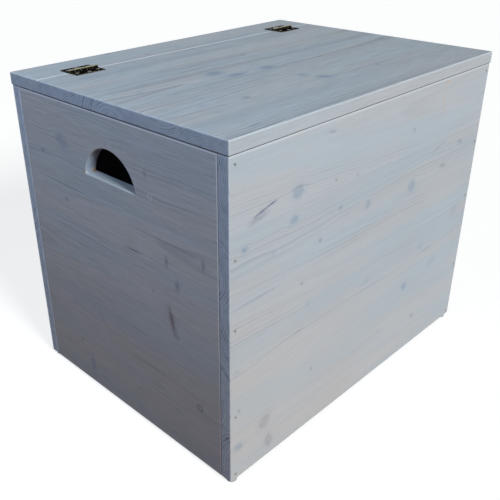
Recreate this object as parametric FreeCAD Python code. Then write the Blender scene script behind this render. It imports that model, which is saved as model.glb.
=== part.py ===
import FreeCAD, Part
import math
import os

# Wooden toy box, in millimetres. +X runs along the box to the right, +Y to the back and +Z up.
# The origin is on the floor, under the middle of the box. The hinged lid opens backwards.

# ---- driving dimensions ----
TOP_LENGTH = 600.0          # lid and rear rail, along X
TOP_DEPTH = 446.0           # lid and rear rail together, along Y
TOTAL_HEIGHT = 500.0        # floor to the upper face of the lid
BOARD = 18.0                # thickness of every panel
OVERHANG = 1.0              # the top stands this far outside the walls
EASED_EDGE = 1.6            # radius on the sanded edges of the boards
GLIDE_HEIGHT = 6.0          # floor to the lower edge of the walls

SEAM_FROM_BACK = 72.0       # back edge of the top to the middle of the lid seam
SEAM_GAP = 1.0              # the saw cut between the rail and the lid
SAWN_EDGE = 0.4             # radius on the edges of the saw cut

BATTEN = 18.0               # side of the square battens under the bottom panel
BOTTOM_PLAY = 0.5           # space between the bottom panel and each wall

# ---- hand hole in each side panel ----
HOLE_SILL = 388.5           # floor to the flat lower edge of the hole
HOLE_HALF_WIDTH = 54.5
HOLE_HEIGHT = 46.5
HOLE_EASED_EDGE = 1.5

# ---- butt hinges on the top face ----
HINGE_LENGTH = 50.0
HINGE_OPEN_WIDTH = 43.0
HINGE_FROM_END = 53.0       # end of the top to the near end of each hinge
LEAF_THICKNESS = 1.2
LEAF_EDGE_BREAK = 0.3
LEAF_CORNER = 1.0
KNUCKLE_RADIUS = 2.4
KNUCKLE_COUNT = 5           # the rail leaf has the odd ones, the lid leaf the even ones
KNUCKLE_GAP = 0.3           # end play between two knuckles
NOTCH_CLEARANCE = 0.4       # leaf plate to the other leaf's knuckle
ROLL_REACH = 5.0            # pin axis to where a knuckle's slope meets the plate
PIN_AXIS_HEIGHT = 2.5       # pin axis above the upper face of the lid
PIN_RADIUS = 1.2
PIN_RUNNING_FIT = 0.05      # radial clearance in the lid leaf's knuckles
PIN_HEAD_RADIUS = 1.8
PIN_HEAD_LENGTH = 1.0

# ---- countersunk hinge screws ----
SCREW_LENGTH = 16.0
SCREW_RADIUS = 1.5
SCREW_HEAD_RADIUS = 2.8
SCREW_HEAD_DEPTH = 1.5
SCREW_TIP = 3.0
RECESS_LENGTH = 3.0
RECESS_WIDTH = 0.7
RECESS_DEPTH = 0.9
SCREW_ALONG = (-18.0, 0.0, 18.0)        # from the middle of the hinge
SCREW_ACROSS = (12.0, 16.5, 12.0)       # from the pin axis

# ---- brads ----
BRAD_LENGTH = 35.0
BRAD_RADIUS = 0.7
BRAD_HEAD_RADIUS = 1.0
BRAD_HEAD_LENGTH = 1.0
BRAD_SUNK = 0.4             # head below the face of the board
BRAD_TIP = 1.5
SHORT_BRAD_LENGTH = 28.0
RAIL_BRAD_FROM_SEAM = 22.0  # the brads at the rail's ends
WALL_BRAD_DROPS = (11.0, 129.0, 227.0, 364.0, 466.0)   # below the upper edge of the wall
# The other brads are set out as shares of the half length or half depth inside the walls.
RAIL_BRAD_SHARES = (-0.8, -0.4, 0.0, 0.4, 0.8)
BATTEN_BRAD_SHARES = (-0.65, 0.0, 0.65)
BOTTOM_BRAD_SHARES_ALONG = (-0.85, -0.35, 0.35, 0.85)
BOTTOM_BRAD_SHARES_ACROSS = (-0.35, 0.35)

# ---- corner glides ----
GLIDE_RADIUS = 8.0
GLIDE_EDGE = 1.5
GLIDE_FROM_END = 11.0       # end of the wall to the middle of the glide
GLIDE_NAIL_RADIUS = 0.9
GLIDE_NAIL_LENGTH = 20.0
GLIDE_NAIL_HEAD_RADIUS = 2.6
GLIDE_NAIL_HEAD_LENGTH = 1.0
GLIDE_NAIL_SUNK = 1.0
GLIDE_NAIL_TIP = 1.5

# ---- derived places ----
TOP_UNDERSIDE = TOTAL_HEIGHT - BOARD
WALL_BOTTOM = GLIDE_HEIGHT
BACK_EDGE = TOP_DEPTH / 2
SEAM_Y = BACK_EDGE - SEAM_FROM_BACK
WALL_X = TOP_LENGTH / 2 - OVERHANG      # outer face of the side panels
WALL_Y = TOP_DEPTH / 2 - OVERHANG       # outer face of the front and back panels
INNER_X = WALL_X - BOARD
INNER_Y = WALL_Y - BOARD
BOTTOM_LOW = WALL_BOTTOM + BATTEN
BOTTOM_HIGH = BOTTOM_LOW + BOARD
PIN_Z = TOTAL_HEIGHT + PIN_AXIS_HEIGHT
HINGE_CENTRES = {
    "left": -TOP_LENGTH / 2 + HINGE_FROM_END + HINGE_LENGTH / 2,
    "right": TOP_LENGTH / 2 - HINGE_FROM_END - HINGE_LENGTH / 2,
}

TINY = 1e-6
UP = FreeCAD.Vector(0, 0, 1)
ALONG = FreeCAD.Vector(1, 0, 0)


def vector(x, y, z):
    return FreeCAD.Vector(x, y, z)


def block(low, high):
    """A box between two opposite corners."""
    size = [high[i] - low[i] for i in range(3)]
    return Part.makeBox(*size, vector(*low))


def board(low, high):
    """A board with all its edges eased."""
    solid = block(low, high)
    return solid.makeFillet(EASED_EDGE, solid.Edges)


def turned(profile, start, direction):
    """A solid of revolution: profile lists (distance from start, radius), along direction."""
    points = [vector(0, 0, profile[0][0])]
    points += [vector(radius, 0, distance) for distance, radius in profile]
    points.append(vector(0, 0, profile[-1][0]))
    outline = [points[0]]
    for point in points[1:]:
        if point.distanceToPoint(outline[-1]) > TINY:
            outline.append(point)
    face = Part.Face(Part.makePolygon(outline + [outline[0]]))
    solid = face.revolve(vector(0, 0, 0), UP, 360)
    turn = FreeCAD.Rotation(UP, direction)
    solid.Placement = FreeCAD.Placement(start, turn)
    return solid


# ---- fasteners ----

def headed_nail(entry, direction, head, shank, length, tip, head_start):
    """A nail along direction: head is (radius, length) and shank is a radius."""
    head_radius, head_length = head
    neck = head_start + head_length
    profile = [
        (head_start, head_radius),
        (neck, head_radius),
        (neck, shank),
        (length - tip, shank),
        (length, 0),
    ]
    return turned(profile, entry, direction)


def brad(entry, direction, length):
    """A finishing nail driven from entry, with its head sunk below the face."""
    head = (BRAD_HEAD_RADIUS, BRAD_HEAD_LENGTH)
    return headed_nail(entry, direction, head, BRAD_RADIUS, length, BRAD_TIP, BRAD_SUNK)


def brad_hole(entry, direction, length):
    """The hole that a brad leaves, open at the face of the board."""
    head = (BRAD_HEAD_RADIUS, BRAD_SUNK + BRAD_HEAD_LENGTH)
    return headed_nail(entry, direction, head, BRAD_RADIUS, length, BRAD_TIP, 0)


def glide_nail(centre):
    """The nail that holds a glide, with its head sunk in the glide's recess."""
    head = (GLIDE_NAIL_HEAD_RADIUS, GLIDE_NAIL_HEAD_LENGTH)
    size = (GLIDE_NAIL_RADIUS, GLIDE_NAIL_LENGTH, GLIDE_NAIL_TIP)
    return headed_nail(centre, UP, head, *size, GLIDE_NAIL_SUNK)


def glide_nail_hole(centre):
    """The space for a glide's nail, open at the underside."""
    head = (GLIDE_NAIL_HEAD_RADIUS, GLIDE_NAIL_SUNK + GLIDE_NAIL_HEAD_LENGTH)
    size = (GLIDE_NAIL_RADIUS, GLIDE_NAIL_LENGTH, GLIDE_NAIL_TIP)
    return headed_nail(centre, UP, head, *size, 0)


def screw_body(centre):
    """A countersunk wood screw without its driver recess, which is also the space it takes."""
    profile = [
        (0, SCREW_HEAD_RADIUS),
        (SCREW_HEAD_DEPTH, SCREW_RADIUS),
        (SCREW_LENGTH - SCREW_TIP, SCREW_RADIUS),
        (SCREW_LENGTH, 0),
    ]
    return turned(profile, centre, -UP)


def screw(centre):
    """A countersunk wood screw with a cross recess, driven down into the board."""
    solid = screw_body(centre)
    half_length = RECESS_LENGTH / 2
    half_width = RECESS_WIDTH / 2
    floor = centre.z - RECESS_DEPTH
    for reach_x, reach_y in ((half_length, half_width), (half_width, half_length)):
        low = (centre.x - reach_x, centre.y - reach_y, floor)
        high = (centre.x + reach_x, centre.y + reach_y, centre.z)
        solid = solid.cut(block(low, high))
    return solid


def screw_centres(hinge_x, side):
    """Where the screws of a leaf go: side is 1 for the rail leaf and -1 for the lid leaf."""
    top = TOTAL_HEIGHT + LEAF_THICKNESS
    places = zip(SCREW_ALONG, SCREW_ACROSS)
    return [vector(hinge_x + along, SEAM_Y + side * across, top) for along, across in places]


def all_screw_centres(side):
    """The screws of both hinges on one side of the seam."""
    return [place for x in HINGE_CENTRES.values() for place in screw_centres(x, side)]


def glide_centres():
    """Under each end of the front and back panels."""
    x = WALL_X - GLIDE_FROM_END
    y = WALL_Y - BOARD / 2
    return {
        "front_left": vector(-x, -y, 0),
        "front_right": vector(x, -y, 0),
        "back_left": vector(-x, y, 0),
        "back_right": vector(x, y, 0),
    }


def wall_brads():
    """Brads through the ends of the front and back panels into the side panels."""
    sets = {}
    end_x = WALL_X - BOARD / 2
    for wall, side in (("front", -1), ("back", 1)):
        for end, x in (("left", -end_x), ("right", end_x)):
            heights = [TOP_UNDERSIDE - drop for drop in WALL_BRAD_DROPS]
            entries = [vector(x, side * WALL_Y, z) for z in heights]
            sets[f"{wall}_{end}_brads"] = (vector(0, -side, 0), BRAD_LENGTH, entries)
    return sets


def rail_brads():
    """Brads down through the rail into the back panel and the side panels."""
    back_y = WALL_Y - BOARD / 2
    entries = [vector(share * INNER_X, back_y, TOTAL_HEIGHT) for share in RAIL_BRAD_SHARES]
    end_x = WALL_X - BOARD / 2
    end_y = SEAM_Y + RAIL_BRAD_FROM_SEAM
    entries += [vector(x, end_y, TOTAL_HEIGHT) for x in (-end_x, end_x)]
    return {"rail_brads": (-UP, BRAD_LENGTH, entries)}


def batten_brads():
    """Brads out through each batten into the wall behind it."""
    sets = {}
    middle = WALL_BOTTOM + BATTEN / 2
    face_x = INNER_X - BATTEN
    face_y = INNER_Y - BATTEN
    for name, side in (("front", -1), ("back", 1)):
        entries = [vector(share * INNER_X, side * face_y, middle) for share in BATTEN_BRAD_SHARES]
        sets[f"{name}_batten_brads"] = (vector(0, side, 0), SHORT_BRAD_LENGTH, entries)
    for name, side in (("left", -1), ("right", 1)):
        entries = [vector(side * face_x, share * INNER_Y, middle) for share in BATTEN_BRAD_SHARES]
        sets[f"{name}_batten_brads"] = (vector(side, 0, 0), SHORT_BRAD_LENGTH, entries)
    return sets


def bottom_brads():
    """Brads down through the bottom panel into the battens."""
    row_y = INNER_Y - BATTEN / 2
    row_x = INNER_X - BATTEN / 2
    long_x = [share * INNER_X for share in BOTTOM_BRAD_SHARES_ALONG]
    short_y = [share * INNER_Y for share in BOTTOM_BRAD_SHARES_ACROSS]
    entries = [vector(x, y, BOTTOM_HIGH) for x in long_x for y in (-row_y, row_y)]
    entries += [vector(x, y, BOTTOM_HIGH) for x in (-row_x, row_x) for y in short_y]
    return {"bottom_brads": (-UP, SHORT_BRAD_LENGTH, entries)}


BRAD_SETS = {**wall_brads(), **rail_brads(), **batten_brads(), **bottom_brads()}


def with_brad_holes(solid, *set_names):
    """The board with the holes of these sets of brads."""
    for name in set_names:
        direction, length, entries = BRAD_SETS[name]
        solid = solid.cut([brad_hole(entry, direction, length) for entry in entries])
    return solid


# ---- boards ----

def long_wall(side, name):
    """The front or back panel: side is -1 for the front and 1 for the back."""
    near = sorted((side * INNER_Y, side * WALL_Y))
    low = (-WALL_X, near[0], WALL_BOTTOM)
    high = (WALL_X, near[1], TOP_UNDERSIDE)
    solid = with_brad_holes(board(low, high), f"{name}_left_brads", f"{name}_right_brads")
    solid = with_brad_holes(solid, f"{name}_batten_brads")
    centres = glide_centres()
    nails = [glide_nail_hole(centres[f"{name}_{end}"]) for end in ("left", "right")]
    solid = solid.cut(nails)
    return with_brad_holes(solid, "rail_brads") if name == "back" else solid


def hand_hole(x_low, x_high):
    """The D-shaped cutter of a hand hole, flat side down."""
    left = vector(x_low, -HOLE_HALF_WIDTH, HOLE_SILL)
    right = vector(x_low, HOLE_HALF_WIDTH, HOLE_SILL)
    crown = vector(x_low, 0, HOLE_SILL + HOLE_HEIGHT)
    outline = Part.Wire([Part.Arc(left, crown, right).toShape(), Part.makeLine(right, left)])
    return Part.Face(outline).extrude(vector(x_high - x_low, 0, 0))


def hole_rim(solid, x_faces):
    """The edges of the hand hole that lie in the two faces of the board."""
    rim = []
    for edge in solid.Edges:
        box = edge.BoundBox
        flat = box.XLength < TINY and min(abs(box.XMin - x) for x in x_faces) < TINY
        inside = max(abs(box.YMin), abs(box.YMax)) < HOLE_HALF_WIDTH + 1
        if flat and inside and box.ZMin > HOLE_SILL - 1:
            rim.append(edge)
    return rim


def side_wall(side, name):
    """The left or right panel: side is -1 for the left and 1 for the right."""
    x_low, x_high = sorted((side * INNER_X, side * WALL_X))
    low = (x_low, -INNER_Y, WALL_BOTTOM)
    high = (x_high, INNER_Y, TOP_UNDERSIDE)
    solid = board(low, high).cut(hand_hole(x_low, x_high))
    solid = solid.makeFillet(HOLE_EASED_EDGE, hole_rim(solid, (x_low, x_high)))
    own_sets = (f"front_{name}_brads", f"back_{name}_brads", f"{name}_batten_brads")
    return with_brad_holes(solid, *own_sets, "rail_brads")


def bottom_panel():
    x = INNER_X - BOTTOM_PLAY
    y = INNER_Y - BOTTOM_PLAY
    return with_brad_holes(board((-x, -y, BOTTOM_LOW), (x, y, BOTTOM_HIGH)), "bottom_brads")


def long_batten(side, name):
    y_low, y_high = sorted((side * (INNER_Y - BATTEN), side * INNER_Y))
    solid = board((-INNER_X, y_low, WALL_BOTTOM), (INNER_X, y_high, BOTTOM_LOW))
    return with_brad_holes(solid, f"{name}_batten_brads", "bottom_brads")


def short_batten(side, name):
    x_low, x_high = sorted((side * (INNER_X - BATTEN), side * INNER_X))
    reach = INNER_Y - BATTEN
    solid = board((x_low, -reach, WALL_BOTTOM), (x_high, reach, BOTTOM_LOW))
    return with_brad_holes(solid, f"{name}_batten_brads", "bottom_brads")


def sawn_part(side):
    """One part of the top board, which is sawn in two: side is 1 behind the cut and -1 in front of it."""
    whole_low = (-TOP_LENGTH / 2, -TOP_DEPTH / 2, TOP_UNDERSIDE)
    whole_high = (TOP_LENGTH / 2, TOP_DEPTH / 2, TOTAL_HEIGHT)
    cut_y = SEAM_Y + side * SEAM_GAP / 2
    y_low, y_high = sorted((cut_y, side * TOP_DEPTH / 2))
    kept = block((whole_low[0], y_low, whole_low[2]), (whole_high[0], y_high, whole_high[2]))
    part = board(whole_low, whole_high).common(kept)
    sawn = [
        edge for edge in part.Edges
        if edge.BoundBox.YLength < TINY and abs(edge.BoundBox.YMin - cut_y) < TINY
    ]
    return part.makeFillet(SAWN_EDGE, sawn)


def rear_rail():
    solid = with_brad_holes(sawn_part(1), "rail_brads")
    return solid.cut([screw_body(place) for place in all_screw_centres(1)])


def lid_panel():
    return sawn_part(-1).cut([screw_body(place) for place in all_screw_centres(-1)])


# ---- hinges ----

def leaf_plate(hinge_x, side):
    """The flat part of a leaf, with rounded outer corners and a broken upper edge."""
    half_length = HINGE_LENGTH / 2
    inner = SEAM_Y + side * (KNUCKLE_RADIUS + NOTCH_CLEARANCE)
    outer = SEAM_Y + side * HINGE_OPEN_WIDTH / 2
    y_low, y_high = sorted((inner, outer))
    top = TOTAL_HEIGHT + LEAF_THICKNESS
    low = (hinge_x - half_length, y_low, TOTAL_HEIGHT)
    high = (hinge_x + half_length, y_high, top)
    plate = block(low, high)
    corners = [
        edge for edge in plate.Edges
        if edge.BoundBox.ZLength > LEAF_THICKNESS / 2 and abs(edge.BoundBox.YMin - outer) < TINY
    ]
    plate = plate.makeFillet(LEAF_CORNER, corners)
    upper = [
        edge for edge in plate.Edges
        if edge.BoundBox.ZMin > top - TINY and abs(edge.BoundBox.Center.y - inner) > TINY
    ]
    return plate.makeChamfer(LEAF_EDGE_BREAK, upper)


def knuckle(x_low, x_high, side, bore):
    """One rolled knuckle, with the slope that runs down from it to its plate."""
    length = x_high - x_low
    start = vector(x_low, SEAM_Y, PIN_Z)
    barrel = Part.makeCylinder(KNUCKLE_RADIUS, length, start, ALONG)
    drop = PIN_AXIS_HEIGHT - LEAF_THICKNESS
    distance = math.hypot(ROLL_REACH, drop)
    tangent = math.acos(KNUCKLE_RADIUS / distance) - math.atan2(drop, ROLL_REACH)
    outline = [
        (0, -PIN_AXIS_HEIGHT),
        (ROLL_REACH, -PIN_AXIS_HEIGHT),
        (ROLL_REACH, -drop),
        (KNUCKLE_RADIUS * math.cos(tangent), KNUCKLE_RADIUS * math.sin(tangent)),
        (0, 0),
    ]
    points = [vector(x_low, SEAM_Y + side * y, PIN_Z + z) for y, z in outline]
    slope = Part.Face(Part.makePolygon(points + points[:1])).extrude(ALONG * length)
    return barrel.fuse(slope).cut(Part.makeCylinder(bore, length, start, ALONG))


def hinge_leaf(hinge_x, side):
    """A leaf: side is 1 for the rail leaf, which grips the pin, and -1 for the lid leaf."""
    pitch = HINGE_LENGTH / KNUCKLE_COUNT
    bore = PIN_RADIUS if side > 0 else PIN_RADIUS + PIN_RUNNING_FIT
    first = 0 if side > 0 else 1
    leaf = leaf_plate(hinge_x, side)
    for index in range(first, KNUCKLE_COUNT, 2):
        x_low = hinge_x - HINGE_LENGTH / 2 + index * pitch
        x_high = x_low + pitch
        if index > 0:
            x_low += KNUCKLE_GAP / 2
        if index < KNUCKLE_COUNT - 1:
            x_high -= KNUCKLE_GAP / 2
        leaf = leaf.fuse(knuckle(x_low, x_high, side, bore))
    leaf = leaf.removeSplitter()
    return leaf.cut([screw_body(place) for place in screw_centres(hinge_x, side)])


def hinge_pin(hinge_x):
    """The pin, with a rounded head at each end."""
    half = HINGE_LENGTH / 2
    head_edge = PIN_HEAD_LENGTH / 2
    profile = [
        (-half - PIN_HEAD_LENGTH, PIN_HEAD_RADIUS - head_edge),
        (-half - head_edge, PIN_HEAD_RADIUS),
        (-half, PIN_HEAD_RADIUS),
        (-half, PIN_RADIUS),
        (half, PIN_RADIUS),
        (half, PIN_HEAD_RADIUS),
        (half + head_edge, PIN_HEAD_RADIUS),
        (half + PIN_HEAD_LENGTH, PIN_HEAD_RADIUS - head_edge),
    ]
    return turned(profile, vector(hinge_x, SEAM_Y, PIN_Z), ALONG)


# ---- glides ----

def glide(centre):
    """A round glide with a rounded foot and a recess for its nail."""
    disc = Part.makeCylinder(GLIDE_RADIUS, GLIDE_HEIGHT, centre)
    foot = [edge for edge in disc.Edges if edge.BoundBox.ZMax < TINY]
    return disc.makeFillet(GLIDE_EDGE, foot).cut(glide_nail_hole(centre))


def build():
    """Every node by name, as one solid or a group of equal fasteners."""
    nodes = {
        "bottom_panel": bottom_panel(),
        "rear_rail": rear_rail(),
        "lid_panel": lid_panel(),
    }
    for name, side in (("front", -1), ("back", 1)):
        nodes[f"{name}_panel"] = long_wall(side, name)
        nodes[f"{name}_batten"] = long_batten(side, name)
    for name, side in (("left", -1), ("right", 1)):
        nodes[f"{name}_side_panel"] = side_wall(side, name)
        nodes[f"{name}_batten"] = short_batten(side, name)
    for name, hinge_x in HINGE_CENTRES.items():
        nodes[f"{name}_hinge_pin"] = hinge_pin(hinge_x)
        for leaf_name, side in (("rail", 1), ("lid", -1)):
            nodes[f"{name}_hinge_{leaf_name}_leaf"] = hinge_leaf(hinge_x, side)
            screws = [screw(place) for place in screw_centres(hinge_x, side)]
            nodes[f"{name}_hinge_{leaf_name}_screws"] = Part.makeCompound(screws)
    for name, (direction, length, entries) in BRAD_SETS.items():
        nodes[name] = Part.makeCompound([brad(entry, direction, length) for entry in entries])
    for name, centre in glide_centres().items():
        nodes[f"{name}_glide"] = glide(centre)
    glide_nails = [glide_nail(centre) for centre in glide_centres().values()]
    nodes["glide_nails"] = Part.makeCompound(glide_nails)
    return nodes


os.makedirs("parts", exist_ok=True)
for node_name, shape in build().items():
    shape.exportStep(f"parts/{node_name}.step")
    print(f"{node_name}: {len(shape.Solids)} solids, {shape.Volume:.0f} mm3, valid {shape.isValid()}")
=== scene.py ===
import math
import random

import bpy
from mathutils import Euler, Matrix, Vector


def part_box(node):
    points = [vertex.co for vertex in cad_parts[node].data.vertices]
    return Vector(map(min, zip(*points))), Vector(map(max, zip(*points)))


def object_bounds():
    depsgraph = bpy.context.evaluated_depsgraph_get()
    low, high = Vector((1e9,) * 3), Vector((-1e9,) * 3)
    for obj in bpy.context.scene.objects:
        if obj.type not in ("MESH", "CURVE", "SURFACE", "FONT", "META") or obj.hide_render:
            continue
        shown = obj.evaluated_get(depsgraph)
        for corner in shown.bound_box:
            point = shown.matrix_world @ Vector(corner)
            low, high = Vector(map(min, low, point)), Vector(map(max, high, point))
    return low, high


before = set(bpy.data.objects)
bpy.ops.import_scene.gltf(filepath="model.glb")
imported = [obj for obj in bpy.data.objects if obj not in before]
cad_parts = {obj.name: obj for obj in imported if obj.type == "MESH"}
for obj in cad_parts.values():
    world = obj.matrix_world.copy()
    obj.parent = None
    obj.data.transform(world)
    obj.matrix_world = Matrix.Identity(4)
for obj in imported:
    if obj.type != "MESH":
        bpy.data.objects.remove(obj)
cad_low, cad_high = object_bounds()

MM = 1000.0

# ---- camera and light ------------------------------------------------------------------------------

# Places are in metres in the row frame, and the shift is a part of the picture's width.
CAMERA_PLACE = (-0.7828, -0.6993, 0.7316)
CAMERA_AIM = (-0.0640, 0.0201, 0.1916)
CAMERA_ROLL = math.radians(-0.54)
CAMERA_LENS = 48.95
CAMERA_SHIFT = 0.05

# The key light is a sun that shines from this direction.
KEY_FROM = (-0.105, -0.80, 0.44)
KEY_SPREAD = math.radians(15)
KEY_STRENGTH = 3.25
KEY_COLOUR = (0.952, 1.0, 0.983)
# The soft lamps: places and sizes in metres, strength in watts.
PANELS = {
    "panel": {
        "place": (-1.15, 0.1, 1.15),
        "aim": (-0.3, 0.0, 0.4),
        "size": 0.8,
        "strength": 4.9,
        "colour": (0.56, 0.74, 1.0),
    },
    "bounce": {
        "place": (-0.75, -0.70, 0.01),
        "aim": (-0.75, -0.70, 1.0),
        "size": 0.9,
        "strength": 0.25,
        "colour": (1.0, 0.6, 0.2),
    },
}
# The sky's soft light: each direction that it comes from, and its colour there.
SKY = {
    (0, 0, 1): (0.07, 0.12, 0.135),
    (-0.62, -0.75, 0.2): (0.10, 0.03, 0.02),
    (0.3, 0.88, -0.37): (0.6, 0.63, 0.67),
    (0.93, 0, -0.37): (0.42, 0.42, 0.42),
}
SKY_START = 0.2
# How pale the floor is, how strongly it and the backdrop glow, and the stage's radius in metres.
FLOOR_WHITE = 0.35
FLOOR_GLOW = 0.77
BACKDROP_GLOW = 0.99
STAGE_RADIUS = 24.0
STAGE_STEPS = 96
BACKDROP_RINGS = 12

# ---- stain colours and painted edge light and shade, as 0 to 255 screen values -----------------------

STAIN = (181, 188, 196)
STAIN_COOL = (173, 186, 198)
STAIN_WARM = (187, 187, 192)
LATEWOOD = (130, 132, 148)
END_GRAIN = (176, 190, 208)
END_LATEWOOD = (76, 94, 124)
# Pale edges: worn stain and partly a painted highlight.
WORN_AND_LIT_EDGE = (224, 234, 244)
# Painted shade on the edges that face down.
SHADED_EDGE = (96, 88, 86)
# Painted shade in the crease where a wall meets the lid.
CREVICE_SHADE = (58, 50, 48)
PALE_MARK = (206, 216, 224)
BARK = (112, 94, 92)
RUST = (126, 100, 78)
PITCH = (200, 166, 124)
RAW_WOOD = (196, 170, 134)
MINERAL = (92, 104, 136)
# Each kind of knot: its colours, and how strongly they cover the stain.
KNOT_STYLES = {
    "faint": {"heart": (152, 164, 182), "rim": (134, 144, 164), "halo": (160, 174, 190), "cover": 0.36},
    "pin": {"heart": (104, 112, 132), "rim": (112, 120, 140), "halo": (150, 160, 176), "cover": 0.5},
    "rust": {"heart": RUST, "rim": RUST, "halo": (150, 150, 150), "cover": 0.6},
    "blue": {"heart": (118, 144, 176), "rim": (132, 150, 174), "halo": (152, 170, 190), "cover": 0.6},
    "dark": {"heart": (116, 134, 162), "rim": (118, 134, 160), "halo": (146, 163, 186), "cover": 0.75},
    "grey": {"heart": (148, 150, 162), "rim": (124, 126, 144), "halo": (162, 164, 174), "cover": 0.55},
    "big": {"heart": (138, 154, 178), "rim": (124, 136, 158), "halo": (150, 166, 187), "cover": 0.62},
}
LARGE_KNOTS = ("big", "blue", "dark", "grey")


def shade(colour):
    """A 0 to 255 screen colour as the linear colour that shaders use."""
    linear = []
    for value in colour:
        part = value / 255
        part = part / 12.92 if part <= 0.04045 else ((part + 0.055) / 1.055) ** 2.4
        linear.append(part)
    return (*linear, 1.0)


class Nodes:
    """A node tree, with short calls that add a node and give back its output."""

    def __init__(self, tree):
        self.tree = tree

    def put(self, socket, value):
        if isinstance(value, bpy.types.NodeSocket):
            self.tree.links.new(value, socket)
        else:
            socket.default_value = value

    def node(self, kind, inputs, output=0, **settings):
        made = self.tree.nodes.new("ShaderNode" + kind)
        for key, value in settings.items():
            setattr(made, key, value)
        for key, value in inputs.items():
            self.put(made.inputs[key], value)
        return made.outputs[output]

    def maths(self, operation, first, second=0.0):
        return self.node("Math", {0: first, 1: second}, operation=operation)

    def add(self, first, second):
        return self.maths("ADD", first, second)

    def less(self, first, second):
        return self.maths("SUBTRACT", first, second)

    def times(self, first, second):
        return self.maths("MULTIPLY", first, second)

    def vector(self, operation, first, second=(0, 0, 0), output=0):
        return self.node("VectorMath", {0: first, 1: second}, output, operation=operation)

    def join(self, x, y, z=0.0):
        return self.node("CombineXYZ", {0: x, 1: y, 2: z})

    def split(self, vector):
        parts = self.tree.nodes.new("ShaderNodeSeparateXYZ")
        self.put(parts.inputs[0], vector)
        return parts.outputs[0], parts.outputs[1], parts.outputs[2]

    def blend(self, value, start, end, low=0.0, high=1.0, smooth=True):
        """low below start, high above end, and a smooth or else an even change between them."""
        kind = "SMOOTHSTEP" if smooth else "LINEAR"
        places = {0: value, 1: start, 2: end, 3: low, 4: high}
        return self.node("MapRange", places, interpolation_type=kind, clamp=True)

    def mix(self, factor, first, second, kind="MIX"):
        settings = {"data_type": "RGBA", "blend_type": kind}
        return self.node("Mix", {0: factor, 6: first, 7: second}, 2, **settings)

    def noise(self, place, detail=2.0, roughness=0.5, output=0):
        inputs = {"Vector": place, "Scale": 1.0, "Detail": detail, "Roughness": roughness}
        return self.node("TexNoise", inputs, output)

    def speckle(self, place, scale, detail=2.0, roughness=0.5, output=0):
        """Noise that is the same size in every direction."""
        return self.noise(self.vector("MULTIPLY", place, (scale, scale, scale)), detail, roughness, output)

    def lot(self, *values):
        """Three random numbers, the same wherever the given values are."""
        vector = self.join(*values)
        made = self.tree.nodes.new("ShaderNodeTexWhiteNoise")
        made.noise_dimensions = "3D"
        self.put(made.inputs["Vector"], vector)
        return self.split(made.outputs["Color"])


class Shader(Nodes):
    """One material, whose nodes end in one surface."""

    def __init__(self, name):
        self.material = bpy.data.materials.new(name)
        self.material.use_nodes = True
        super().__init__(self.material.node_tree)
        self.surface = self.tree.nodes["Principled BSDF"]

    def place(self):
        """The point on the piece in millimetres, in the row frame."""
        point = self.node("TexCoord", {}, "Object")
        return self.vector("MULTIPLY", point, (MM, MM, MM))

    def finish(self, colour, roughness, height=None, depth=0.0, strength=0.3, **constants):
        """Sets the surface's inputs. height is a relief, of the given depth in mm and strength."""
        self.put(self.surface.inputs["Base Color"], colour)
        self.put(self.surface.inputs["Roughness"], roughness)
        for name, value in constants.items():
            self.surface.inputs[name.replace("_", " ")].default_value = value
        if height is not None:
            inputs = {"Strength": strength, "Distance": depth / MM, "Height": height}
            self.put(self.surface.inputs["Normal"], self.node("Bump", inputs))
        return self.material


# ---- stained pine ----------------------------------------------------------------------------------

# Lengths here are in mm, and a place is multiplied by the number of a pattern's waves in each mm.
LENGTH, DEPTH, HEIGHT = 0, 1, 2
# How wide a glued stave is, how far its grain strays in long waves and in short ones, and how much the staves
# differ in how deep their pith is.
STAVE = 95.0
GRAIN_WANDER = 26.0
GRAIN_RIPPLE = 3.4
PITH_SPREAD = 50.0
# The heights on a wall between which the grain lines and the pale edges grow clear, and the painted floor
# light ends.
LINES_RISE = (60, 360)
PALE_EDGE_RISE = (130, 430)
FLOOR_LIGHT_RISE = (10, 430)
# How softly the pale edge band, worn and partly a painted highlight, ends, how ragged it is, and how deep the
# grain's relief is.
EDGE_SOFTNESS = 1.2
RAGGED_EDGE = 2.0
RELIEF = 0.6


class Knot:
    """A knot in a board: where it is along and across the grain, and its half sizes, all in mm."""

    def __init__(self, along, across, wide, tall, tilt=0):
        self.centre = (along, across, 0)
        self.size = (wide, tall, 1)
        self.tilt = (0, 0, math.radians(tilt))


def side_axis(board):
    """The axis that runs across the grain on a board's broad face."""
    return LENGTH + DEPTH + HEIGHT - board["grain"] - board["face"]


class Spot:
    """Where a point is on its board, and whether it is on the board's long edge or its end grain."""

    def __init__(self, s, node, board):
        low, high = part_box(node)
        self.low = [value * MM for value in low]
        self.high = [value * MM for value in high]
        grain, face, side = board["grain"], board["face"], side_axis(board)
        self.place = s.place()
        parts = s.split(self.place)
        self.along = parts[grain]
        self.from_end = s.less(self.along, self.low[grain])
        self.across = parts[side]
        self.through = s.less(parts[face], (self.low[face] + self.high[face]) / 2)
        self.height = parts[HEIGHT]
        self.from_top = s.less(self.high[HEIGHT], self.height)
        facing = s.split(s.node("TexCoord", {}, "Normal"))
        self.upward = facing[HEIGHT]
        self.on_edge = s.blend(s.maths("ABSOLUTE", facing[side]), 0.5, 0.8)
        self.on_end = s.blend(s.maths("ABSOLUTE", facing[grain]), 0.6, 0.8)
        self.upright = side == HEIGHT
        self.level = face == HEIGHT


def distance(s, plan, knot):
    """How far a point is from a knot's centre: 1 is the knot's rim."""
    inputs = {0: plan, 1: knot.centre, 2: knot.tilt, 3: knot.size}
    local = s.node("Mapping", inputs, vector_type="TEXTURE")
    return s.vector("LENGTH", local, output=1)


def nearest(s, plan, knots):
    """The distance to whichever of the knots is nearest."""
    closest = distance(s, plan, knots[0])
    for knot in knots[1:]:
        closest = s.maths("MINIMUM", closest, distance(s, plan, knot))
    return closest


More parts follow.
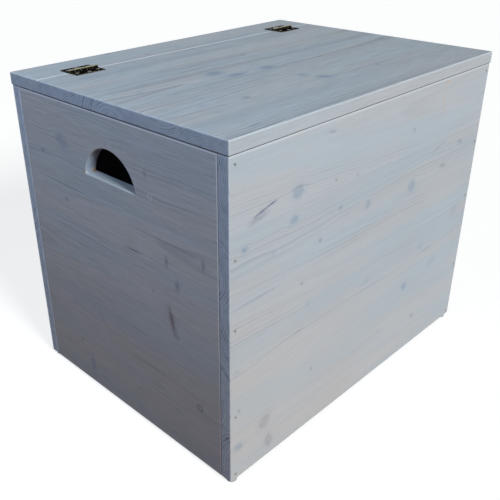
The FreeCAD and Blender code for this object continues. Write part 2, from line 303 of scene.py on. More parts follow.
def knot_plan(s, spot):
    """The point on the board's broad face, moved about a little so that no knot is a smooth oval."""
    wobble = s.speckle(spot.place, 0.14, 3.0, 0.6, 1)
    wobble = s.vector("MULTIPLY", s.vector("SUBTRACT", wobble, (0.5, 0.5, 0.5)), (6.0, 6.0, 0))
    return s.vector("ADD", s.join(spot.along, spot.across), wobble)


def bend_grain(s, plan, across, knots):
    """Moves the grain lines apart round the large knots."""
    for knot in knots:
        reach = s.blend(distance(s, plan, knot), 0.4, 3.6, 0.62, 0.0)
        across = s.less(across, s.times(s.less(across, knot.centre[1]), reach))
    return across


def growth_rings(s, spot, across, board):
    """The year rings of a glued board: how dark a point is in its ring, and how strong that ring is.

    across is the place across the bent grain. The third result is a random number for the point's stave.
    """
    along, through, seed, first_seam = spot.along, spot.through, board["seed"], board["seam"]
    index = s.maths("FLOOR", s.maths("DIVIDE", s.less(across, first_seam), STAVE))
    shift, deep, close = s.lot(index, seed)
    wander_place = s.join(s.times(along, 0.0042), s.times(across, 0.016), s.add(index, seed))
    wander = s.times(s.less(s.noise(wander_place), 0.5), GRAIN_WANDER)
    ripple_place = s.join(s.times(along, 0.021), s.times(across, 0.09), s.add(s.times(through, 0.12), seed))
    ripple = s.times(s.less(s.noise(ripple_place), 0.5), GRAIN_RIPPLE)
    grain = s.add(across, s.add(wander, ripple))

    # The tree's middle, the pith, is in front of one stave and behind the next, and it runs a little askew.
    pith_across = s.add(s.times(s.add(index, s.add(0.1, s.times(shift, 0.8))), STAVE), first_seam)
    side = s.less(s.times(s.maths("FLOORED_MODULO", index, 2.0), 2), 1)
    taper = s.times(s.times(along, s.less(shift, 0.5)), 0.06)
    pith_deep = s.add(s.times(side, s.add(board["pith"], s.times(deep, PITH_SPREAD))), taper)
    radius = s.vector("DISTANCE", s.join(grain, through), s.join(pith_across, pith_deep), 1)
    slant = s.maths("DIVIDE", s.maths("ABSOLUTE", s.less(grain, pith_across)), radius)

    # Each ring goes slowly from pale to dark and then quickly back, and some rings are stronger than others.
    uneven = s.noise(s.join(s.times(radius, 0.11), index, seed), 1.0)
    phase = s.maths("DIVIDE", radius, s.times(s.add(0.75, s.times(close, 0.6)), board["ring"]))
    phase = s.add(phase, s.times(uneven, 3.0))
    part = s.maths("FRACT", phase)
    late = s.times(s.blend(part, 0.25, 0.86), s.blend(part, 0.88, 1.0, 1.0, 0.0))
    pick = s.lot(s.maths("FLOOR", phase), index, seed)[0]
    strength = s.add(0.2, s.times(s.maths("POWER", pick, 1.7), 0.8))
    strength = s.times(strength, s.blend(slant, 0.1, 0.55, 0.5, 1.0))
    return late, strength, deep


def box_edge(s, spot):
    """How far a point is from the nearest edge of the board, in mm."""
    centre = [(low + high) / 2 for low, high in zip(spot.low, spot.high)]
    half = [(high - low) / 2 for low, high in zip(spot.low, spot.high)]
    inside = s.vector("SUBTRACT", half, s.vector("ABSOLUTE", s.vector("SUBTRACT", spot.place, centre)))
    first, second, third = s.split(inside)
    lesser = s.maths("MINIMUM", first, second)
    greater = s.maths("MAXIMUM", first, second)
    return s.maths("MAXIMUM", lesser, s.maths("MINIMUM", greater, third))


def lighten(s, colour, light):
    """The colour times a plain number."""
    return s.mix(1.0, colour, s.join(light, light, light), "MULTIPLY")


def stained_wood(s, spot, grain_across, stave_tone, board):
    """The bare stain: fine fibres, brushed streaks and broad clouds. Gives the colour and both reliefs."""
    along, through, seed = spot.along, spot.through, board["seed"]
    fibre_place = s.join(s.times(along, 0.022), s.times(grain_across, 1.1), s.times(through, 1.1))
    fibre = s.less(s.noise(fibre_place, 3.0, 0.65), 0.5)
    streak_through = s.add(s.times(through, 0.1), seed)
    streak_place = s.join(s.times(along, 0.0045), s.times(grain_across, 0.16), streak_through)
    streak = s.less(s.noise(streak_place, 3.0, 0.6), 0.5)
    cloud = s.less(s.speckle(spot.place, 0.008), 0.5)
    tint = s.noise(s.join(s.times(along, 0.003), s.times(spot.across, 0.02), seed + 5))
    calm = s.less(1.0, s.times(spot.on_edge, 0.6))
    fine = s.add(s.times(fibre, board["fibre"]), s.times(streak, board["streak"]))
    light = s.add(s.times(fine, calm), s.times(cloud, 0.07))
    light = s.add(1.0, s.add(light, s.times(s.less(stave_tone, 0.5), 0.04)))
    colour = s.mix(s.blend(tint, 0.38, 0.62), shade(STAIN_COOL), shade(STAIN_WARM))
    colour = lighten(s, s.mix(0.5, colour, shade(STAIN)), light)
    return colour, fibre, streak


def latewood_lines(s, spot, late, strength, board):
    """How clear the dark lines are: fainter under thick stain, on the long edges and low on the walls."""
    thick_place = s.join(s.times(spot.along, 0.0035), s.times(spot.across, 0.022), board["seed"])
    clear = s.blend(s.noise(thick_place, 1.0), 0.36, 0.64, 0.4, 1.0)
    line = s.times(s.times(late, strength), s.times(clear, s.less(1.0, s.times(spot.on_edge, 0.85))))
    if spot.upright:
        line = s.times(line, s.blend(spot.height, *LINES_RISE, 0.45, 1.0))
    return line


def paint_lines(s, colour, spot, line, grain_across, board):
    """The latewood lines, and the short dark resin ducts along the grain."""
    colour = s.mix(s.times(line, board["contrast"]), colour, shade(LATEWOOD))
    duct_place = s.join(s.times(spot.along, 0.07), s.times(grain_across, 1.5), s.times(spot.through, 1.5))
    duct = s.blend(s.noise(duct_place, 1.0), 0.69, 0.80, 0.0, 0.35)
    return s.mix(duct, colour, shade(LATEWOOD))


def paint_stains(s, colour, spot, stains):
    """Resin, bark and mineral streaks, each a soft ragged spot; a ring is pale inside."""
    plan = s.join(spot.along, spot.across)
    ragged_place = s.join(s.times(spot.along, 0.12), s.times(spot.across, 0.45))
    ragged = s.blend(s.noise(ragged_place, 3.0, 0.6), 0.32, 0.6, 0.35, 1.0)
    for stain in stains:
        away = distance(s, plan, stain["at"])
        part = s.blend(away, 0.2, 1.1, 1.0, 0.0)
        if stain.get("ring"):
            part = s.times(s.blend(away, 0.5, 0.9), s.blend(away, 0.95, 1.35, 1.0, 0.0))
        part = s.times(s.times(part, ragged), stain["cover"])
        colour = s.mix(part, colour, shade(stain["colour"]))
    return colour


def paint_knots(s, colour, plan, patch, knots, style):
    """The heart, the darker rim and the soft halo of a group of knots."""
    away = nearest(s, plan, knots)
    cover = style["cover"]
    halo_part = s.times(s.blend(away, 0.8, 2.6, 1.0, 0.0), 0.5 * cover)
    heart_part = s.times(s.times(s.blend(away, 0.2, 1.25, 1.0, 0.0), patch), cover)
    rim_part = s.times(s.blend(away, 0.45, 0.85), s.blend(away, 0.9, 1.4, 1.0, 0.0))
    rim_part = s.times(s.times(rim_part, patch), 0.5 * cover)
    colour = s.mix(halo_part, colour, shade(style["halo"]))
    colour = s.mix(heart_part, colour, shade(style["heart"]))
    return s.mix(rim_part, colour, shade(style["rim"]))


def paint_ends(s, colour, spot, late, strength, board):
    """End grain drinks more stain, so it is bluer and shows its rings and pores."""
    pore = s.speckle(spot.place, 1.3, 3.0, 0.7)
    ray_place = s.join(s.times(spot.along, 0.05), s.times(spot.across, 0.08), s.times(spot.through, 0.08))
    ray = s.blend(s.noise(ray_place), 0.35, 0.65, 0.45, 1.0)
    line = s.times(s.times(late, ray), s.add(0.5, s.times(strength, 0.5)))
    end_colour = s.mix(line, shade(END_GRAIN), shade(END_LATEWOOD))
    light = s.times(s.add(0.86, s.times(pore, 0.28)), board["end_light"])
    return s.mix(spot.on_end, colour, lighten(s, end_colour, light))


def paint_edges(s, colour, spot, fibre, board):
    """The sanded edges are pale where they face up, worn and partly a painted highlight, and darker where
    they face down, a painted shade.
    """
    band, wear_and_highlight, ragged = board["band"], board["wear_and_highlight"], s.times(fibre, RAGGED_EDGE)
    edge = s.blend(s.add(box_edge(s, spot), ragged), band, band + EDGE_SOFTNESS, 1.0, 0.0)
    # Edges that face up are pale: worn stain and partly a painted highlight.
    worn_and_lit = s.times(edge, s.blend(spot.upward, -0.2, 0.2, 0.0, wear_and_highlight))
    # Edges that face down are darker: painted shade.
    shaded_below = s.times(edge, s.blend(spot.upward, -0.4, 0.0, 0.75, 0.0))
    if spot.level:
        worn_and_lit = s.times(worn_and_lit, s.less(1.0, s.times(spot.on_end, 0.7)))
    if board["fades"]:
        worn_and_lit = s.times(worn_and_lit, s.blend(spot.height, *PALE_EDGE_RISE, 0.3, 1.0))
    # Upright boards get a pale band just under their top: a painted highlight where the lid shades the wall.
    if spot.upright:
        rim = s.blend(s.add(spot.from_top, ragged), 2.6, 4.0, 1.2 * wear_and_highlight, 0.0)
        worn_and_lit = s.maths("MAXIMUM", worn_and_lit, rim)
    colour = s.mix(worn_and_lit, colour, shade(WORN_AND_LIT_EDGE))
    return s.mix(shaded_below, colour, shade(SHADED_EDGE))


def paint_crevice_shade(s, colour, spot, board):
    """The dark line where a wall meets the lid, a painted shade."""
    wide = board["crevice"]
    return s.mix(s.blend(spot.from_top, wide, wide + 0.6, 0.8, 0.0), colour, shade(CREVICE_SHADE))


def paint_chips(s, colour, spot, blotch, chips):
    """Raw wood, where the stain is chipped off."""
    for place, radius in chips:
        away = s.vector("DISTANCE", spot.place, place, 1)
        torn = s.add(away, s.times(s.less(blotch, 0.5), 3.0 * radius))
        chip = s.blend(torn, 0.4 * radius, radius, 0.8, 0.0)
        colour = s.mix(chip, colour, shade(RAW_WOOD))
    return colour


def paint_floor_light(s, colour, spot, streak, board):
    """A painted tint of bounce light and shade on the lower part of a wall, and the slant takes it lower
    towards one end.
    """
    slant = s.times(spot.from_end, board["painted_floor_slant"])
    level = s.add(s.add(spot.height, slant), s.times(streak, 60.0))
    painted_floor_light = s.blend(level, *FLOOR_LIGHT_RISE, 1.0, 0.0)
    return s.mix(painted_floor_light, colour, s.mix(1.0, colour, (*board["painted_floor_light"], 1.0), "MULTIPLY"))


def pine(node, own_look):
    """Knotty pine under a translucent blue-grey stain, for one board."""
    s = Shader("pine_" + node)
    board = {**USUAL_LOOK, **own_look}
    spot = Spot(s, node, board)
    knots = board["knots"]

    plan = knot_plan(s, spot)
    large = [knot for group in LARGE_KNOTS for knot in knots.get(group, ())]
    grain_across = bend_grain(s, plan, spot.across, large)
    late, strength, stave_tone = growth_rings(s, spot, grain_across, board)
    colour, fibre, streak = stained_wood(s, spot, grain_across, stave_tone, board)
    line = latewood_lines(s, spot, late, strength, board)
    colour = paint_lines(s, colour, spot, line, grain_across, board)
    colour = paint_stains(s, colour, spot, board["stains"])

    blotch = s.speckle(spot.place, 0.33, 2.0, 0.6)
    patch = s.blend(blotch, 0.3, 0.65, 0.35, 1.0)
    for group, style in KNOT_STYLES.items():
        if knots.get(group):
            colour = paint_knots(s, colour, plan, patch, knots[group], style)
    colour = paint_ends(s, colour, spot, late, strength, board)
    colour = paint_edges(s, colour, spot, fibre, board)
    if spot.upright:
        colour = paint_crevice_shade(s, colour, spot, board)
    colour = paint_chips(s, colour, spot, blotch, board["chips"])
    if board["painted_floor_light"]:
        colour = paint_floor_light(s, colour, spot, streak, board)

    roughness = s.add(0.58, s.add(s.times(fibre, 0.16), s.times(streak, 0.12)))
    height = s.add(s.times(fibre, 0.5), s.times(line, -0.5))
    return s.finish(colour, roughness, height, RELIEF, 0.35)


# ---- the boards' knots and stains --------------------------------------------------------------------

# How high the rust spots round the brads are, at both ends of the front.
BRAD_STAINS = (470, 352, 254, 117, 15)
FRONT_KNOTS = {
    "big": [
        Knot(-178, 405, 9, 7.5, 12),
        Knot(97, 330, 8, 7, -35),
        Knot(-20, 337, 5, 5),
    ],
    "grey": [
        Knot(-232, 74, 10, 8, 40),
        Knot(-222, 34, 6, 10, 10),
    ],
    "blue": [
        Knot(-184, 369, 7, 5, 10),
        Knot(-274, 361, 5, 4),
        Knot(114, 144, 7, 6, -20),
        Knot(-284, 62, 8, 5, -20),
    ],
    "pin": [
        Knot(-101, 398, 2, 2),
        Knot(-86, 353, 3, 2.5),
        Knot(-52, 390, 2.5, 1.4),
        Knot(85, 421, 2.5, 2.5),
        Knot(-163, 268, 3, 1.8),
        Knot(-130, 109, 2.5, 2),
        Knot(-283, 124, 2, 2.5),
        Knot(188, 338, 8, 2.6, -8),
        Knot(236, 366, 6, 2.6, -12),
        Knot(-128, 320, 3, 2.5),
        Knot(156, 66, 4, 3.2, -30),
        Knot(-116, 466, 7, 1.6, -4),
    ],
    "faint": [
        Knot(253, 237, 9, 8, 40),
        Knot(198, 158, 11, 7, 15),
        Knot(-5, 204, 8, 3.5),
        Knot(151, 206, 6, 5),
        Knot(-146, 230, 4, 3.5),
        Knot(-288, 189, 5, 4),
        Knot(49, 87, 4, 3),
        Knot(-222, 336, 3, 4),
    ],
    "rust": [Knot(x, z, 1.6, 2.0) for x in (-289, 291) for z in BRAD_STAINS],
}
FRONT_STAINS = [
    {"at": Knot(-228, 405, 16, 2.0, 11), "colour": MINERAL, "cover": 1.0},
    {"at": Knot(-246, 400, 18, 2.6, 13), "colour": MINERAL, "cover": 0.85},
    {"at": Knot(-250, 394, 26, 6.5, 9), "colour": LATEWOOD, "cover": 0.5},
    {"at": Knot(-252, 285, 58, 3.0), "colour": (132, 146, 170), "cover": 0.5},
    {"at": Knot(165, 475, 9, 3.2, 8), "colour": PITCH, "cover": 0.6},
    {"at": Knot(163, 442, 5, 30), "colour": PITCH, "cover": 0.22},
    {"at": Knot(166, 374, 26, 2.6, 20), "colour": LATEWOOD, "cover": 0.4},
    {"at": Knot(-166, 193, 16, 2.2, 4), "colour": LATEWOOD, "cover": 0.45},
    {"at": Knot(170, 193, 26, 3.4), "colour": LATEWOOD, "cover": 0.3},
]
LEFT_KNOTS = {
    "big": [
        Knot(107, 422, 11, 7, 20),
    ],
    "blue": [
        Knot(93, 42, 5, 14),
    ],
    "pin": [
        Knot(-128, 283, 3.4, 8),
        Knot(160, 396, 4, 3),
        Knot(-109, 312, 2.4, 8),
        Knot(-178, 332, 2.4, 7),
        Knot(112, 332, 5, 3),
        Knot(-76, 423, 2, 5),
        Knot(-78, 255, 1.8, 1.8),
        Knot(116, 82, 3, 2.5),
    ],
    "faint": [
        Knot(-164, 104, 6, 5.5, 15),
        Knot(54, 152, 9, 5, 35),
        Knot(160, 60, 7, 4),
        Knot(-118, 72, 7, 4),
        Knot(-35, 62, 12, 3, -10),
    ],
}
LEFT_STAINS = [
    {"at": Knot(-83, 394, 4.4, 4.4), "colour": PALE_MARK, "cover": 0.6, "ring": True},
    {"at": Knot(-164, 104, 5.2, 4.6), "colour": (84, 92, 120), "cover": 0.85, "ring": True},
    {"at": Knot(59, 151, 5.5, 3.6, 20), "colour": PALE_MARK, "cover": 0.5, "ring": True},
    {"at": Knot(-115, 221, 9, 34, -14), "colour": BARK, "cover": 0.5},
    {"at": Knot(-114, 226, 3.2, 22, -14), "colour": (94, 72, 74), "cover": 0.6},
    {"at": Knot(-122, 202, 8, 5, 20), "colour": (134, 158, 176), "cover": 0.8},
    {"at": Knot(-42, 304, 24, 1.4), "colour": (66, 62, 70), "cover": 0.9},
    {"at": Knot(118, 355, 100, 1.8, 1), "colour": MINERAL, "cover": 0.5},
    {"at": Knot(-6, 443, 3.0, 9, 20), "colour": PALE_MARK, "cover": 0.3},
    {"at": Knot(-105, 340, 100, 2.4, 0), "colour": LATEWOOD, "cover": 0.5},
    {"at": Knot(-60, 120, 90, 5, -2), "colour": LATEWOOD, "cover": 0.3},
]
# Where the hand hole's edge has lost its stain: the place in mm and the radius.
LEFT_CHIPS = [
    ((-285, 53, 390), 5.5),
    ((-299, 55, 389), 3.0),
]
TOP_KNOTS = {
    "dark": [
        Knot(-105, -2, 13, 9, 15),
        Knot(-26, -32, 11, 7),
        Knot(-13, -127, 10, 6, -35),
        Knot(-89, -31, 12, 6),
    ],
    "blue": [
        Knot(-26, -101, 7, 6),
        Knot(270, -32, 6, 4),
    ],
    "pin": [
        Knot(11, 52, 5, 3.5, 20),
        Knot(-166, -122, 5, 3.5),
        Knot(101, -140, 3, 3),
    ],
    "faint": [
        Knot(-212, -83, 7, 5),
        Knot(-230, -110, 5, 4),
        Knot(-275, -92, 5, 4),
        Knot(-234, -144, 5, 4),
        Knot(-223, -171, 5, 4),
        Knot(-170, 41, 6, 4),
        Knot(154, 16, 8, 6),
        Knot(169, 63, 4, 3),
        Knot(247, -104, 7, 6),
        Knot(-43, 66, 6, 5),
        Knot(-243, -6, 5, 4),
    ],
}
TOP_STAINS = [
    {"at": Knot(-72, -31, 14, 2.6), "colour": LATEWOOD, "cover": 0.7},
    {"at": Knot(-240, -205, 17, 1.6), "colour": MINERAL, "cover": 0.8},
    {"at": Knot(-285, 48, 14, 1.6, 6), "colour": LATEWOOD, "cover": 0.7},
]
RAIL_KNOTS = {
    "blue": [Knot(-16, 176, 5, 4)],
    "pin": [
        Knot(-130, 217, 4, 4),
        Knot(-88, 167, 4, 3),
    ],
    "faint": [
        Knot(110, 191, 12, 5),
        Knot(137, 163, 6, 4),
    ],
}


# What a board is like unless its own look says otherwise. pith is how deep the nearest pith is, fibre and
# streak are how strong the fine fibres and the brushed streaks are, wear_and_highlight and band are how pale
# the edges are and how far in, from wear and a painted highlight, and crevice is how wide the painted shade
# under the lid is.
# end_light brightens the end grain, fades makes the pale edges fainter low down, and painted_floor_light is a
# painted tint of bounce light and shade near the floor, which painted_floor_slant tilts.
USUAL_LOOK = {
    "pith": 26,
    "fibre": 0.13,
    "streak": 0.13,
    "wear_and_highlight": 0.25,
    "band": 1.2,
    "crevice": 0.3,
    "end_light": 1.0,
    "fades": False,
    "painted_floor_light": None,
    "painted_floor_slant": 0.0,
    "stains": (),
    "chips": (),
}
# The boards that the front view shows. grain and face are the axes that the grain runs along and that the
# broad face looks along, seam is where one of the glued staves begins, ring is the width of a year ring, and
# contrast is how dark the grain lines are.
BOARDS = {
    "front_panel": {
        "grain": LENGTH,
        "face": DEPTH,
        "seed": 3.0,
        "seam": 6.0,
        "ring": 3.3,
        "contrast": 0.4,
        "painted_floor_light": (1.07, 0.965, 0.905),
        "painted_floor_slant": 0.5,
        "fades": True,
        "knots": FRONT_KNOTS,
        "stains": FRONT_STAINS,
    },
    "left_side_panel": {
        "grain": DEPTH,
        "face": LENGTH,
        "seed": 11.0,
        "seam": -21.0,
        "ring": 2.4,
        "contrast": 0.8,
        "fibre": 0.9,
        "streak": 0.2,
        "crevice": 0.8,
        "painted_floor_light": (0.86, 0.76, 0.73),
        "wear_and_highlight": 0.85,
        "fades": True,
        "knots": LEFT_KNOTS,
        "stains": LEFT_STAINS,
        "chips": LEFT_CHIPS,
    },
    "lid_panel": {
        "grain": LENGTH,
        "face": HEIGHT,
        "seed": 23.0,
        "seam": -235.0,
        "ring": 2.7,
        "pith": 10,
        "contrast": 1.15,
        "fibre": 1.3,
        "streak": 0.14,
        "knots": TOP_KNOTS,
        "stains": TOP_STAINS,
    },
    "rear_rail": {
        "grain": LENGTH,
        "face": HEIGHT,
        "seed": 31.0,
        "seam": 140.0,
        "ring": 2.7,
        "contrast": 0.9,
        "fibre": 0.55,
        "streak": 0.17,
        "wear_and_highlight": 0.45,
        "knots": RAIL_KNOTS,
    },
}
# The other boards: grain, face, how many big and small knots, and how wide the pale edge band is.
PLAIN_BOARDS = {
    "back_panel": (LENGTH, DEPTH, 4, 7, 2.8),
    "right_side_panel": (DEPTH, LENGTH, 3, 6, 1.2),
    "bottom_panel": (LENGTH, HEIGHT, 3, 6, 1.2),
    "front_batten": (LENGTH, DEPTH, 1, 2, 1.2),
    "back_batten": (LENGTH, DEPTH, 1, 2, 1.2),
    "left_batten": (DEPTH, LENGTH, 1, 2, 1.2),
    "right_batten": (DEPTH, LENGTH, 1, 2, 1.2),
}
# What those boards have in common.
HIDDEN_LOOK = {
    "contrast": 0.6,
    "ring": 3.0,
    "end_light": 1.12,
    "wear_and_highlight": 0.55,
}
# Painted bounce light and shade near the floor, on the upright boards that the front view doesn't show.
HIDDEN_FLOOR_LIGHT = (0.93, 0.88, 0.86)
KNOT_SEED = 41
FIRST_SEED = 47.0
SEED_STEP = 9
SEAM_OFFSET = 30


def scatter(rng, low, high, grain, side, big, small):
    """Knots at random places on a board that the front view doesn't show."""

    def one(radius):
        along = rng.uniform(low[grain], high[grain]) * MM
        across = rng.uniform(low[side], high[side]) * MM
        return Knot(along, across, radius * rng.uniform(0.9, 1.5), radius, rng.uniform(-25, 25))

    return {
        "big": [one(rng.uniform(4.5, 8)) for _ in range(big)],
        "blue": [one(rng.uniform(3.5, 6)) for _ in range(big)],
        "pin": [one(rng.uniform(1.6, 3)) for _ in range(small)],
        "faint": [one(rng.uniform(4, 8)) for _ in range(small)],
    }


# ---- metal and plastic -----------------------------------------------------------------------------

# How round an edge has to be to show the brass, worn and partly a painted highlight, and how far below the
# knuckles' top the painted highlight starts and is complete, in mm.
EDGE_BRASS_RADIUS = 0.6
KNUCKLE_SHINE_START = 1.5
KNUCKLE_SHINE_FULL = 0.4
LACQUER = (9, 8, 8)
LACQUER_BROWN = (24, 20, 18)
LACQUER_SPECK = (72, 58, 40)
# The pale brass, partly a painted highlight.
BRASS_AND_HIGHLIGHT = (244, 232, 198)
PLASTIC_LIGHT = (196, 197, 196)
PLASTIC_DARK = (176, 178, 180)
FLOOR_DIRT = (120, 114, 106)
# The steels: the ending of the names of the nodes that each is for, and its look.
STEELS = {
    "_pin": {
        "name": "hinge_pin_steel",
        "light": (84, 74, 62),
        "dark": (44, 38, 34),
        "rough": 0.38,
        "scale": 0.8,
        "scratch": 0.2,
        "metallic": 1.0,
    },
    "_screws": {
        "name": "screw_steel",
        "light": (206, 202, 192),
        "dark": (72, 70, 66),
        "rough": 0.34,
        "scale": 0.7,
        "scratch": 0.25,
        "metallic": 0.6,
    },
    "_brads": {
        "name": "brad_steel",
        "light": (120, 112, 104),
        "dark": (74, 66, 60),
        "rough": 0.45,
        "scale": 1.3,
        "scratch": 0.2,
        "metallic": 1.0,
    },
    "_nails": {
        "name": "glide_nail_steel",
        "light": (170, 168, 166),
        "dark": (124, 122, 120),
        "rough": 0.36,
        "scale": 1.0,
        "scratch": 0.2,
        "metallic": 1.0,
    },
}


def antique_bronze(name):
    """Black lacquer over brass: the brass shows along the edges, worn and partly a painted highlight, and on
    top of the knuckles, a painted highlight.

    It has no shine of its own, so it stays black even when seen at a low angle.
    """
    s = Shader(name)
    place = s.place()
    rounded = s.node("Bevel", {"Radius": EDGE_BRASS_RADIUS / MM}, samples=6)
    plain = s.node("NewGeometry", {}, "Normal")
    same = s.vector("DOT_PRODUCT", rounded, plain, 1)
    grime = s.speckle(place, 0.55, 4.0, 0.65)
    speck = s.speckle(place, 2.4, 3.0, 0.6)
    edge = s.blend(same, 0.90, 0.999, 1.0, 0.0)
    knuckle_top = cad_high[2] * MM
    # The top of the knuckles is pale: a painted highlight.
    knuckle_highlight = s.blend(s.split(place)[2], knuckle_top - KNUCKLE_SHINE_START, knuckle_top - KNUCKLE_SHINE_FULL)
    wear_and_highlight = s.add(s.times(edge, 0.6), s.times(knuckle_highlight, 0.95))
    wear_and_highlight = s.times(wear_and_highlight, s.blend(grime, 0.34, 0.56))
    dark = s.mix(s.blend(grime, 0.3, 0.7), shade(LACQUER), shade(LACQUER_BROWN))
    dark = s.mix(s.blend(speck, 0.66, 0.76), dark, shade(LACQUER_SPECK))
    colour = s.mix(wear_and_highlight, dark, shade(BRASS_AND_HIGHLIGHT))
    roughness = s.blend(grime, 0.2, 0.8, 0.26, 0.42, smooth=False)
    s.put(s.surface.inputs["Metallic"], s.blend(wear_and_highlight, 0.1, 0.7, 0.0, 0.7))
    relief = s.add(grime, s.times(speck, 0.5))
    return s.finish(colour, roughness, relief, 0.3, 0.25, Specular_IOR_Level=0.0)


def steel(name, light, dark, rough, scale, scratch, metallic):
    """Plain or plated steel: cloudy, with fine scratches."""
    s = Shader(name)
    place = s.place()
    cloud = s.speckle(place, scale, 4.0, 0.6)
    fine = s.noise(s.vector("MULTIPLY", place, (scale * 9, scale, scale)), 2.0, 0.6)
    colour = s.mix(s.blend(cloud, 0.3, 0.7), shade(dark), shade(light))
    roughness = s.add(rough, s.times(s.less(fine, 0.5), scratch))
    return s.finish(colour, roughness, fine, 0.2, 0.2, Metallic=metallic)


def glide_plastic(name):
    """Matt light grey plastic, scuffed and a little dirty underneath."""
    s = Shader(name)
    place = s.place()
    scuff = s.speckle(place, 0.9, 4.0, 0.65)
    grain = s.speckle(place, 3.5)
    height = s.split(place)[2]
    dirt = s.times(s.blend(height, 0.0, 2.0, 1.0, 0.0), s.blend(scuff, 0.35, 0.6))
    colour = s.mix(s.blend(scuff, 0.3, 0.7), shade(PLASTIC_DARK), shade(PLASTIC_LIGHT))
    colour = s.mix(s.times(dirt, 0.6), colour, shade(FLOOR_DIRT))
    roughness = s.blend(scuff, 0.25, 0.75, 0.42, 0.62, smooth=False)
    return s.finish(colour, roughness, grain, 0.3, 0.25)


# ---- the materials on their nodes ------------------------------------------------------------------


def cover(node, material):
    """Gives a node its material in every slot."""
    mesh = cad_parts[node].data
    if not mesh.materials:
        mesh.materials.append(material)
    for slot in range(len(mesh.materials)):
        mesh.materials[slot] = material


def cover_boards():
    """The wood, on the boards that have their own look and then on the plain ones."""
    for node, board in BOARDS.items():
        cover(node, pine(node, board))
    rng = random.Random(KNOT_SEED)
    for number, (node, (grain, face, big, small, band)) in enumerate(PLAIN_BOARDS.items()):
        board = {**HIDDEN_LOOK, "grain": grain, "face": face, "band": band}
        low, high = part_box(node)
        side = side_axis(board)
        board["seed"] = FIRST_SEED + SEED_STEP * number
        board["seam"] = low[side] * MM - SEAM_OFFSET
        board["knots"] = scatter(rng, low, high, grain, side, big, small)
        if side == HEIGHT:
            board["painted_floor_light"] = HIDDEN_FLOOR_LIGHT
        cover(node, pine(node, board))


def cover_hardware():
    """The metal and plastic pieces, by how their names end."""
    kinds = {"_leaf": antique_bronze("hinge_bronze"), "_glide": glide_plastic("glide_plastic")}
    for ending, look in STEELS.items():
        kinds[ending] = steel(**look)
    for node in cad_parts:
        for ending, material in kinds.items():
            if node.endswith(ending):
                cover(node, material)


# ---- the stage -------------------------------------------------------------------------------------


def stage_mesh(name, points, faces):
    """A piece of the stage, which isn't part of the object."""
    mesh = bpy.data.meshes.new(name)
    mesh.from_pydata(points, [], faces)
    made = bpy.data.objects.new(name, mesh)
    bpy.context.scene.collection.objects.link(made)
    made.visible_diffuse = False
    made.visible_glossy = False
    return made


def circle(radius, steps, height=0.0):
    """Points evenly round a level circle."""
    turns = [2 * math.pi * step / steps for step in range(steps)]
    return [(radius * math.cos(turn), radius * math.sin(turn), height) for turn in turns]


def glow(s, strength):
    """Gives off plain white light and no shine."""
    s.surface.inputs["Emission Color"].default_value = (1, 1, 1, 1)
    s.surface.inputs["Emission Strength"].default_value = strength
    s.surface.inputs["Specular IOR Level"].default_value = 0.0


def make_floor():
    """A flat round pale floor. It glows a little, so that it comes out nearly white."""
    floor = stage_mesh("floor", circle(STAGE_RADIUS, STAGE_STEPS), [tuple(range(STAGE_STEPS))])
    s = Shader("floor_white")
    mottle = s.speckle(s.place(), 0.004, 3.0)
    white = (FLOOR_WHITE, FLOOR_WHITE, FLOOR_WHITE, 1)
    greyer = (0.96 * FLOOR_WHITE, 0.96 * FLOOR_WHITE, 0.96 * FLOOR_WHITE, 1)
    glow(s, FLOOR_GLOW)
    floor.data.materials.append(s.finish(s.mix(mottle, greyer, white), 0.9))


def make_backdrop():
    """A white half sphere behind everything. Only the camera sees it, so it adds no light."""
    around = STAGE_STEPS // 2
    points = []
    for ring in range(BACKDROP_RINGS):
        rise = 0.5 * math.pi * ring / BACKDROP_RINGS
        points += circle(STAGE_RADIUS * math.cos(rise), around, STAGE_RADIUS * math.sin(rise))
    top = len(points)
    points.append((0.0, 0.0, STAGE_RADIUS))
    faces = []
    for start in range(0, top, around):
        for step in range(around):
            here, after = start + step, start + (step + 1) % around
            if start + around < top:
                faces.append((after, here, here + around, after + around))
            else:
                faces.append((after, here, top))
    backdrop = stage_mesh("backdrop", points, faces)
    backdrop.visible_transmission = False
    backdrop.visible_shadow = False
    s = Shader("backdrop_white")
    glow(s, BACKDROP_GLOW)
    s.material.cycles.emission_sampling = "NONE"
    backdrop.data.materials.append(s.finish((0, 0, 0, 1), 1.0))


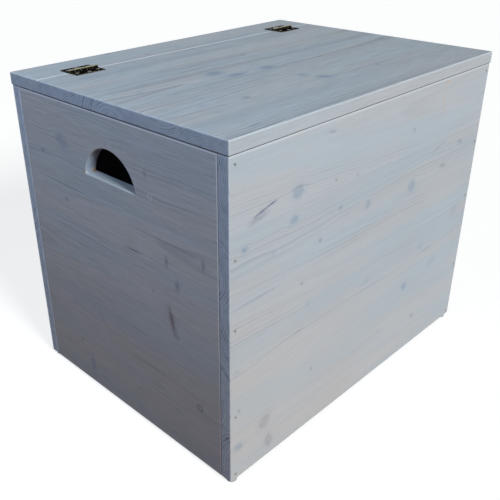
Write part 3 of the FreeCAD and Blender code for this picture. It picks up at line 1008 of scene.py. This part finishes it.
def make_world():
    """Soft light from all round, a little from each of the sides named in SKY."""
    world = bpy.data.worlds.new("studio")
    world.use_nodes = True
    bpy.context.scene.world = world
    s = Nodes(world.node_tree)
    look = s.node("TexCoord", {}, "Generated")
    total = (0, 0, 0)
    for towards, colour in SKY.items():
        share = s.blend(s.vector("DOT_PRODUCT", look, towards, 1), SKY_START, 1.0)
        total = s.vector("ADD", total, s.vector("MULTIPLY", colour, s.join(share, share, share)))
    s.put(s.tree.nodes["Background"].inputs["Color"], total)


def place_light(name, kind, place, towards, strength, colour):
    """A lamp that shines from one place towards another."""
    data = bpy.data.lights.new(name, kind)
    data.energy = strength
    data.color = colour
    light = bpy.data.objects.new(name, data)
    light.location = place
    light.rotation_mode = "QUATERNION"
    light.rotation_quaternion = (Vector(place) - Vector(towards)).to_track_quat("Z", "Y")
    light.visible_camera = False
    bpy.context.scene.collection.objects.link(light)
    return data


def make_lights():
    """A sun from the front that just grazes the left side, and the soft panels."""
    sun = place_light("key", "SUN", KEY_FROM, (0, 0, 0), KEY_STRENGTH, KEY_COLOUR)
    sun.angle = KEY_SPREAD
    for name, panel in PANELS.items():
        made = place_light(name, "AREA", panel["place"], panel["aim"], panel["strength"], panel["colour"])
        made.size = panel["size"]


def make_camera():
    """The camera looks down at the front left corner."""
    data = bpy.data.cameras.new("camera")
    data.lens = CAMERA_LENS
    data.sensor_width = 36.0
    data.shift_x = CAMERA_SHIFT
    data.clip_end = 100.0
    camera = bpy.data.objects.new("camera", data)
    camera.location = CAMERA_PLACE
    look = Vector(CAMERA_AIM) - Vector(CAMERA_PLACE)
    roll = Euler((0, 0, CAMERA_ROLL)).to_quaternion()
    camera.rotation_mode = "QUATERNION"
    camera.rotation_quaternion = look.to_track_quat("-Z", "Y") @ roll
    bpy.context.scene.collection.objects.link(camera)
    bpy.context.scene.camera = camera


cover_boards()
cover_hardware()
make_floor()
make_backdrop()
make_world()
make_lights()
make_camera()
bpy.context.scene.view_settings.view_transform = "Standard"
